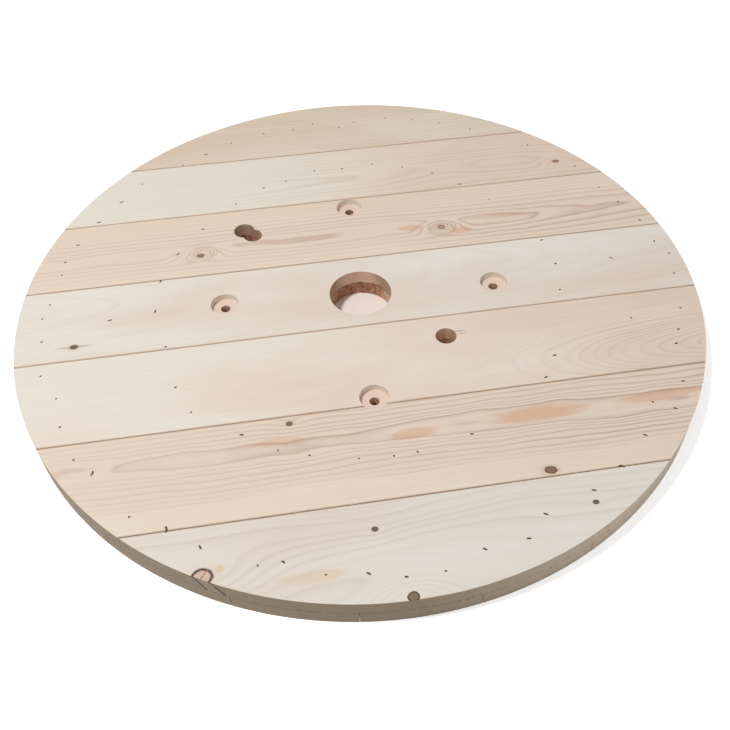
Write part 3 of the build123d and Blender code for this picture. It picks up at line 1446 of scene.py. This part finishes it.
@dataclass
class ClinchedNails:
    """Nails driven up through both layers, with their points bent over into the outer face."""

    wire_radius: float = 1.25
    dot_length: float = 2.6
    dash_length: float = 4.6
    hook_length: float = 9.5
    hook_bend: float = 75.0
    stand_proud: float = 0.35
    flattened: float = 0.24
    head_radius: float = 3.4
    head_thickness: float = 1.0
    head_proud: float = 0.05
    head_round: float = 0.25
    head_sides: int = 18
    neck: float = 0.8
    shank_start: float = 3.0
    short_bend: float = 8.0
    turn_spread: float = 30.0
    seed: int = 7
    wire_sides: int = 8
    bend_steps: int = 9

    def bent_point(self, end: NailEnd) -> bpy.types.Object:
        """Models one bent nail point: a wire that arches out of the face and back into it.

        Args:
            end: how much of it shows.

        Returns:
            The shape, lying along X on the face, which is at height zero.
        """
        length = {NailEnd.DOT: self.dot_length, NailEnd.DASH: self.dash_length, NailEnd.HOOK: self.hook_length}[end]
        bend = math.radians(self.hook_bend if end is NailEnd.HOOK else self.short_bend)
        curve = length / bend
        arch = self.wire_radius + self.stand_proud
        work = bmesh.new()
        rings = []
        for step in range(self.bend_steps + 1):
            share = step / self.bend_steps
            # The wire's middle line: an arc seen from above, and a low arch seen from the side
            angle = bend * (share - 0.5)
            height = math.sin(math.pi * share) * arch - self.wire_radius
            middle = Vector((curve * math.sin(angle), curve * (math.cos(angle) - 1), height))
            rise = math.cos(math.pi * share) * math.pi * arch / length
            ahead = Vector((math.cos(angle), -math.sin(angle), rise)).normalized()
            aside = Vector((math.sin(angle), math.cos(angle), 0.0))
            up = ahead.cross(aside)
            # The wire thins towards its tip
            radius = self.wire_radius * (1 - 0.5 * share**2)
            ring = []
            for side in range(self.wire_sides):
                turn = math.tau * side / self.wire_sides
                ring.append(work.verts.new((middle + radius * (math.cos(turn) * up + math.sin(turn) * aside)) * MM))
            rings.append(ring)
        for near, far in zip(rings, rings[1:]):
            for side in range(self.wire_sides):
                after = (side + 1) % self.wire_sides
                work.faces.new((near[side], far[side], far[after], near[after]))
        work.faces.new(rings[0])
        work.faces.new(list(reversed(rings[-1])))
        # The hammer left what stands out of the face almost level with it
        for corner in work.verts:
            corner.co.z *= self.flattened if corner.co.z > 0 else 1.0
        return finish_shape(work, f"nail_{end.name.lower()}_shape")

    def flat_head(self) -> bpy.types.Object:
        """Models one nail head.

        Returns:
            A thin disc with a rounded rim and the shank's start above it.
        """
        profile = (
            (0.0, -self.head_proud),
            (self.head_radius * 0.82, -self.head_proud),
            (self.head_radius, -self.head_proud + self.head_round),
            (self.head_radius, self.head_thickness),
            (self.wire_radius, self.head_thickness + self.neck),
            (self.wire_radius, self.head_thickness + self.shank_start),
            (0.0, self.head_thickness + self.shank_start),
        )
        turns = [math.tau * n / self.head_sides for n in range(self.head_sides)]
        work = bmesh.new()
        rings = []
        for radius, height in profile:
            around = turns if radius else [0.0]
            places = [(radius * math.cos(turn), radius * math.sin(turn), height) for turn in around]
            rings.append([work.verts.new(Vector(place) * MM) for place in places])
        for near, far in zip(rings, rings[1:]):
            for n in range(self.head_sides):
                after = (n + 1) % self.head_sides
                corners = [near[n % len(near)], near[after % len(near)], far[after % len(far)], far[n % len(far)]]
                # At the axis two corners are one, which leaves a triangle
                work.faces.new(list(dict.fromkeys(corners)))
        return finish_shape(work, "nail_head_shape")

    def marks(self, height: float) -> bpy.types.Object:
        """Lays out one bare point for each nail.

        Args:
            height: the height of the face that the nails lie on, in mm.

        Returns:
            The points, with each nail's turn, length and kind as attributes.
        """
        mesh = bpy.data.meshes.new("nail_marks")
        mesh.from_pydata([(mark.x * MM, mark.y * MM, height * MM) for mark in NAIL_MARKS], [], [])
        chance = random.Random(self.seed)
        turns, lengths = [], []
        for mark in NAIL_MARKS:
            loose = mark.end is NailEnd.DOT
            turns.append(math.radians(chance.gauss(0, self.turn_spread) if loose else mark.turn))
            lengths.append(chance.uniform(0.7, 1.2) if loose else mark.length)
        store(mesh, "turn", "FLOAT", turns)
        store(mesh, "length", "FLOAT", lengths)
        store(mesh, "kind", "INT", [mark.end.value for mark in NAIL_MARKS])
        holder = bpy.data.objects.new("nail_marks", mesh)
        bpy.context.collection.objects.link(holder)
        return holder

    def place(
        self, name: str, shapes: list[bpy.types.Object], height: float, steel: bpy.types.Material
    ) -> bpy.types.Object:
        """Repeats nail shapes at the marks with Geometry Nodes.

        Args:
            name: the finished piece's name.
            shapes: one shape for each kind of nail end, or a single one for all.
            height: the height of the face that the marks lie on, in mm.
            steel: the nails' material.

        Returns:
            The finished piece, a plain mesh.
        """
        holder = self.marks(height)
        inputs = {"Marks": "NodeSocketGeometry"}
        inputs |= {f"Nail shape {number}": "NodeSocketObject" for number in range(len(shapes))}
        inputs |= {"Size": "NodeSocketFloat", "Steel": "NodeSocketMaterial"}
        tree, given = new_layout(f"{name}_layout", inputs, "Nails")
        turn = add(tree, "GeometryNodeInputNamedAttribute", {"Name": "turn"}, out="Attribute", data_type="FLOAT")
        length = add(
            tree, "GeometryNodeInputNamedAttribute", {"Name": "length"}, out="Attribute", data_type="FLOAT"
        )
        kind = add(tree, "GeometryNodeInputNamedAttribute", {"Name": "kind"}, out="Attribute", data_type="INT")
        turned = add(tree, "ShaderNodeCombineXYZ", {2: turn})
        # A bent point is stretched along its own length, and a head keeps its size
        several = len(shapes) > 1
        stretched = add(tree, "ShaderNodeCombineXYZ", {0: length if several else 1.0, 1: 1.0, 2: 1.0})
        sized = add(
            tree,
            "ShaderNodeVectorMath",
            {0: stretched, "Scale": given["Size"]},
            operation="SCALE",
        )
        rotation = add(tree, "FunctionNodeEulerToRotation", {0: turned})
        joined = add(tree, "GeometryNodeJoinGeometry")
        for number in range(len(shapes)):
            source = add(
                tree, "GeometryNodeObjectInfo", {"Object": given[f"Nail shape {number}"]}, out="Geometry"
            )
            picked = True
            if several:
                picked = add(
                    tree,
                    "FunctionNodeCompare",
                    {"A": kind, "B": number},
                    data_type="INT",
                    operation="EQUAL",
                )
            placed = add(
                tree,
                "GeometryNodeInstanceOnPoints",
                {
                    "Points": given["Marks"],
                    "Selection": picked,
                    "Instance": source,
                    "Rotation": rotation,
                    "Scale": sized,
                },
            )
            tree.links.new(placed, joined.node.inputs[0])
        real = add(tree, "GeometryNodeRealizeInstances", {0: joined})
        finished = add(
            tree, "GeometryNodeSetMaterial", {"Geometry": real, "Material": given["Steel"]}
        )
        add(tree, "NodeGroupOutput", {0: finished})

        values = {f"Nail shape {number}": shape for number, shape in enumerate(shapes)}
        lay_out(holder, tree, values | {"Size": 1.0, "Steel": steel})
        piece = plain_piece(name, holder)
        for shape in shapes:
            bpy.data.objects.remove(shape, do_unlink=True)
        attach(piece, "root")
        return piece

    def build(self) -> list[bpy.types.Object]:
        """Builds the bent points on the outer face and the heads on the inner one.

        Returns:
            The two pieces.
        """
        steel = NailSteel().build()
        ends = [self.bent_point(end) for end in NailEnd]
        return [
            self.place("nail_points", ends, FLANGE_THICKNESS, steel),
            self.place("nail_heads", [self.flat_head()], 0.0, steel),
        ]


# ---------------------------------------------------------------------------
# Torn fibres
# ---------------------------------------------------------------------------


@dataclass(frozen=True)
class TornWood:
    """Loose slivers of softwood: pale where they broke, brown where the drill rubbed them, quite matt."""

    fresh: str = "c8a283"
    rubbed: str = "8a5c43"
    roughness: float = 0.85

    def build(self) -> bpy.types.Material:
        """Builds the material of the slivers.

        Returns:
            The material.
        """
        material = blank_material("torn_softwood")
        tree = material.node_tree
        where = add(tree, "ShaderNodeTexCoord", out="Object")
        # Each sliver is a few mm long, so patches of 3 mm give neighbours different shades
        patches = add(tree, "ShaderNodeTexNoise", {"Vector": where, "Scale": 1 / (3.0 * MM), "Detail": 1.0})
        share = add(tree, "ShaderNodeMapRange", {"Value": patches, "From Min": 0.4, "From Max": 0.6})
        skin = add(tree, "ShaderNodeMix", {0: share, 6: colour(self.fresh), 7: colour(self.rubbed)}, **COLOUR_MIX)
        shader = add(tree, "ShaderNodeBsdfPrincipled", {"Base Color": skin, "Roughness": self.roughness})
        add(tree, "ShaderNodeOutputMaterial", {"Surface": shader})
        return material


@dataclass(frozen=True)
class TornHole:
    """A hole whose inner layer was torn by the drill, in mm from the bore's axis."""

    x: float
    y: float
    radius: float
    count: int


@dataclass
class TornFibres:
    """Short slivers that stand off the end grain inside the holes of the inner layer."""

    holes: tuple[TornHole, ...] = (
        TornHole(0.0, 0.0, BORE_RADIUS, 520),
        TornHole(*CABLE_HOLE_PLACE, CABLE_HOLE_RADIUS, 130),
    )
    longest: float = 2.6
    shortest: float = 0.8
    thickness: float = 0.35
    flatness: float = 1.6
    curl: float = 0.12
    sides: int = 3
    lowest_tip: float = 0.8
    root_depth: float = 0.1
    spread: float = 0.5
    seed: int = 19

    def sliver(self) -> bpy.types.Object:
        """Models one splinter.

        Returns:
            A three-sided splinter along Z, one mm long, thin at its tip.
        """
        work = bmesh.new()
        rings = []
        for share, width in ((0.0, 1.0), (0.45, 0.8), (1.0, 0.15)):
            ring = []
            for side in range(self.sides):
                turn = math.tau * side / self.sides
                x = self.thickness * width * math.cos(turn) + self.curl * share**2
                y = self.thickness * width * self.flatness * math.sin(turn)
                ring.append(work.verts.new(Vector((x, y, share)) * MM))
            rings.append(ring)
        for near, far in zip(rings, rings[1:]):
            for side in range(self.sides):
                after = (side + 1) % self.sides
                work.faces.new((near[side], near[after], far[after], far[side]))
        work.faces.new(list(reversed(rings[0])))
        work.faces.new(rings[-1])
        return finish_shape(work, "sliver_shape")

    def roots(self) -> bpy.types.Object:
        """Lays out the slivers on the holes' walls where the drill crossed the fibres, which run along Y.

        Returns:
            One bare point for each sliver, with its way and length as attributes.
        """
        chance = random.Random(self.seed)
        places, ways, lengths = [], [], []
        for hole in self.holes:
            made = 0
            while made < hole.count:
                bearing = chance.uniform(0, math.tau)
                # Fibres tear where the wall faces along them, and hardly where it runs beside them
                if chance.random() > abs(math.sin(bearing)) ** 2:
                    continue
                made += 1
                out = Vector((math.cos(bearing), math.sin(bearing), 0.0))
                height = BOARD_THICKNESS * (0.06 + 0.9 * chance.random())
                loose = [chance.gauss(lean, self.spread) for lean in (0, 0, -0.5)]
                way = (Vector(loose) - out).normalized()
                length = chance.uniform(self.shortest, self.longest)
                # No tip hangs out below the inner face
                height = max(height, self.lowest_tip - way.z * length)
                place = Vector((hole.x, hole.y, height)) + out * (hole.radius + self.root_depth)
                places.append(tuple(place * MM))
                ways.extend(way)
                lengths.append(length)
        mesh = bpy.data.meshes.new("sliver_roots")
        mesh.from_pydata(places, [], [])
        store(mesh, "way", "FLOAT_VECTOR", ways)
        store(mesh, "length", "FLOAT", lengths)
        holder = bpy.data.objects.new("sliver_roots", mesh)
        bpy.context.collection.objects.link(holder)
        return holder

    def build(self) -> list[bpy.types.Object]:
        """Repeats the sliver over its roots with Geometry Nodes.

        Returns:
            The one piece.
        """
        holder, shape = self.roots(), self.sliver()
        inputs = {
            "Roots": "NodeSocketGeometry",
            "Sliver": "NodeSocketObject",
            "Thickness share": "NodeSocketFloat",
            "Wood": "NodeSocketMaterial",
        }
        tree, given = new_layout("torn_fibre_layout", inputs, "Fibres")
        way = add(
            tree, "GeometryNodeInputNamedAttribute", {"Name": "way"}, out="Attribute", data_type="FLOAT_VECTOR"
        )
        length = add(
            tree, "GeometryNodeInputNamedAttribute", {"Name": "length"}, out="Attribute", data_type="FLOAT"
        )
        rotation = add(tree, "FunctionNodeAlignRotationToVector", {"Vector": way}, axis="Z")
        thin = given["Thickness share"]
        size = add(tree, "ShaderNodeCombineXYZ", {0: thin, 1: thin, 2: length})
        source = add(tree, "GeometryNodeObjectInfo", {"Object": given["Sliver"]}, out="Geometry")
        placed = add(
            tree,
            "GeometryNodeInstanceOnPoints",
            {"Points": given["Roots"], "Instance": source, "Rotation": rotation, "Scale": size},
        )
        real = add(tree, "GeometryNodeRealizeInstances", {0: placed})
        finished = add(tree, "GeometryNodeSetMaterial", {"Geometry": real, "Material": given["Wood"]})
        add(tree, "NodeGroupOutput", {0: finished})
        lay_out(holder, tree, {"Sliver": shape, "Thickness share": 1.0, "Wood": TornWood().build()})
        piece = plain_piece("torn_fibres", holder)
        bpy.data.objects.remove(shape, do_unlink=True)
        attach(piece, "root")
        return [piece]


def store(mesh: bpy.types.Mesh, name: str, kind: str, values: list[float]) -> None:
    """Stores one value, or one vector as three values, for each point of a mesh.

    Args:
        mesh: the mesh that gets the attribute.
        name: the attribute's name.
        kind: Blender's name for the kind of value.
        values: the values in order, vectors laid end to end.
    """
    made = mesh.attributes.new(name, kind, "POINT")
    made.data.foreach_set("vector" if kind == "FLOAT_VECTOR" else "value", values)


def new_layout(
    name: str, inputs: dict[str, str], output: str
) -> tuple[bpy.types.NodeTree, bpy.types.NodeOutputs]:
    """Starts a Geometry Nodes tree with named inputs.

    Args:
        name: the tree's name.
        inputs: each input's name to Blender's name for its kind.
        output: the name of the geometry that the tree gives.

    Returns:
        The tree, and its inputs by name.
    """
    tree = bpy.data.node_groups.new(name, "GeometryNodeTree")
    for label, kind in inputs.items():
        tree.interface.new_socket(label, in_out="INPUT", socket_type=kind)
    tree.interface.new_socket(output, in_out="OUTPUT", socket_type="NodeSocketGeometry")
    return tree, add(tree, "NodeGroupInput").node.outputs


def lay_out(holder: bpy.types.Object, tree: bpy.types.NodeTree, values: dict[str, object]) -> None:
    """Puts a Geometry Nodes tree on an object and sets its inputs, before it is first evaluated.

    Args:
        holder: the object with the bare points.
        tree: the tree.
        values: the tree's inputs by name.
    """
    modifier = holder.modifiers.new("layout", "NODES")
    modifier.node_group = tree
    sockets = {item.name: item.identifier for item in tree.interface.items_tree if item.in_out == "INPUT"}
    for label, value in values.items():
        modifier[sockets[label]] = value


def plain_piece(name: str, holder: bpy.types.Object) -> bpy.types.Object:
    """Turns an object with a Geometry Nodes modifier into a plain mesh piece.

    Args:
        name: the finished piece's name.
        holder: the object with the modifier, which is removed.

    Returns:
        The piece, at the origin, with smooth faces.
    """
    graph = bpy.context.evaluated_depsgraph_get()
    mesh = bpy.data.meshes.new_from_object(holder.evaluated_get(graph))
    mesh.name = name
    piece = bpy.data.objects.new(name, mesh)
    bpy.context.collection.objects.link(piece)
    bpy.data.objects.remove(holder, do_unlink=True)
    for polygon in mesh.polygons:
        polygon.use_smooth = True
    return piece


# ---------------------------------------------------------------------------
# The studio
# ---------------------------------------------------------------------------


@dataclass
class Studio:
    """Floor, light and camera, none of them part of the flange."""

    floor_size: float = 14.0
    floor_drop: float = 0.0002
    floor_grey: float = 0.8
    floor_under: str = "f1e8e1"
    # Under the disc, this far in from its edge in mm, the paper passes to its warm tone
    floor_under_from: float = 60.0
    floor_under_to: float = 90.0
    # The lamp is weaker far off, so the floor is lifted more there: near and far, in metres
    lift_reach: tuple[float, float] = (1.5, 5.0)
    lift_level: tuple[float, float] = (0.58, 0.9)
    sky_level: float = 0.4
    lamp_size: float = 0.34
    lamp_power: float = 71.0
    lamp_place: Triple = (-1.2, -0.2, 3.2)
    camera_place: Triple = (-97.8, -855.2, 873.2)
    camera_bearing: float = 81.423
    camera_dip: float = 48.736
    camera_roll: float = -0.763
    lens: float = 43.895
    sensor_width: float = 36.0
    shift_x: float = -0.0266
    shift_y: float = -0.0003

    def build_floor(self) -> None:
        """Builds the floor: white paper, lifted to plain white for the eye but still taking a shadow."""
        half = self.floor_size / 2
        mesh = bpy.data.meshes.new("floor")
        corners = [(-half, -half), (half, -half), (half, half), (-half, half)]
        mesh.from_pydata([(x, y, -self.floor_drop) for x, y in corners], [], [(0, 1, 2, 3)])
        floor = bpy.data.objects.new("floor", mesh)
        bpy.context.collection.objects.link(floor)
        material = blank_material("white_paper_floor")
        tree = material.node_tree
        where = add(tree, "ShaderNodeTexCoord", out="Object")
        reach = add(tree, "ShaderNodeVectorMath", {0: where}, out="Value", operation="LENGTH")
        covered = add(
            tree,
            "ShaderNodeMapRange",
            {
                "Value": reach,
                "From Min": (FLANGE_RADIUS - self.floor_under_to) * MM,
                "From Max": (FLANGE_RADIUS - self.floor_under_from) * MM,
                "To Min": 1.0,
                "To Max": 0.0,
            },
        )
        shades = {6: grey(self.floor_grey), 7: colour(self.floor_under)}
        sheet = add(tree, "ShaderNodeMix", {0: covered, **shades}, **COLOUR_MIX)
        paper = add(tree, "ShaderNodeBsdfDiffuse", {"Color": sheet})
        (near, far), (low, high) = self.lift_reach, self.lift_level
        rise = add(
            tree,
            "ShaderNodeMapRange",
            {"Value": reach, "From Min": near, "From Max": far, "To Min": low, "To Max": high},
        )
        lift = add(tree, "ShaderNodeMath", {0: seen_directly(tree), 1: rise}, operation="MULTIPLY")
        bare = add(tree, "ShaderNodeMath", {0: 1.0, 1: covered}, operation="SUBTRACT")
        lift = add(tree, "ShaderNodeMath", {0: lift, 1: bare}, operation="MULTIPLY")
        glow = add(tree, "ShaderNodeEmission", {"Color": grey(1.0), "Strength": lift})
        both = add(tree, "ShaderNodeAddShader", {0: paper, 1: glow})
        add(tree, "ShaderNodeOutputMaterial", {"Surface": both})
        floor.data.materials.append(material)

    def build_light(self) -> None:
        """Builds a soft sky and one large lamp, high up on the left of the flange."""
        world = bpy.data.worlds.new("studio_sky")
        bpy.context.scene.world = world
        world.use_nodes = True
        tree = world.node_tree
        tree.nodes.clear()
        given = {"Value": seen_directly(tree), "To Min": self.sky_level, "To Max": 1.0}
        level = add(tree, "ShaderNodeMapRange", given)
        sky = add(tree, "ShaderNodeBackground", {"Color": colour("ffffff"), "Strength": level})
        add(tree, "ShaderNodeOutputWorld", {"Surface": sky})

        data = bpy.data.lights.new("window", "AREA")
        data.shape = "SQUARE"
        data.size = self.lamp_size
        data.energy = self.lamp_power
        lamp = bpy.data.objects.new("window", data)
        lamp.location = self.lamp_place
        lamp.rotation_euler = (-lamp.location).to_track_quat("-Z", "Y").to_euler()
        bpy.context.collection.objects.link(lamp)

    def build_camera(self) -> None:
        """Builds the camera at the photograph's place and view."""
        data = bpy.data.cameras.new("camera")
        data.lens = self.lens
        data.sensor_width = self.sensor_width
        data.shift_x = self.shift_x
        data.shift_y = self.shift_y
        data.clip_start = 0.01
        camera = bpy.data.objects.new("camera", data)
        bpy.context.collection.objects.link(camera)
        turn = (
            Matrix.Rotation(math.radians(self.camera_bearing - 90), 3, "Z")
            @ Matrix.Rotation(math.radians(90 - self.camera_dip), 3, "X")
            @ Matrix.Rotation(math.radians(self.camera_roll), 3, "Z")
        )
        camera.rotation_euler = turn.to_euler()
        camera.location = Vector(self.camera_place) * MM
        bpy.context.scene.camera = camera

    def build(self) -> None:
        """Builds the whole studio."""
        self.build_floor()
        self.build_light()
        self.build_camera()
        bpy.context.scene.view_settings.view_transform = "Standard"


def main() -> None:
    """Builds every part of the scene in order and reports each piece."""
    logging.basicConfig(level=logging.INFO, format="%(name)s: %(message)s")
    makers = (
        BoardLayer(Layer.OUTER, OUTER_FIGURES, bottom=BOARD_THICKNESS, seed=20),
        BoardLayer(Layer.INNER, INNER_FIGURES, bottom=0.0, seed=60),
        ClinchedNails(),
        TornFibres(),
    )
    for maker in makers:
        for piece in maker.build():
            LOG.info("%s: %d faces", piece.name, len(piece.data.polygons))
    Studio().build()


if __name__ == "__main__":
    main()
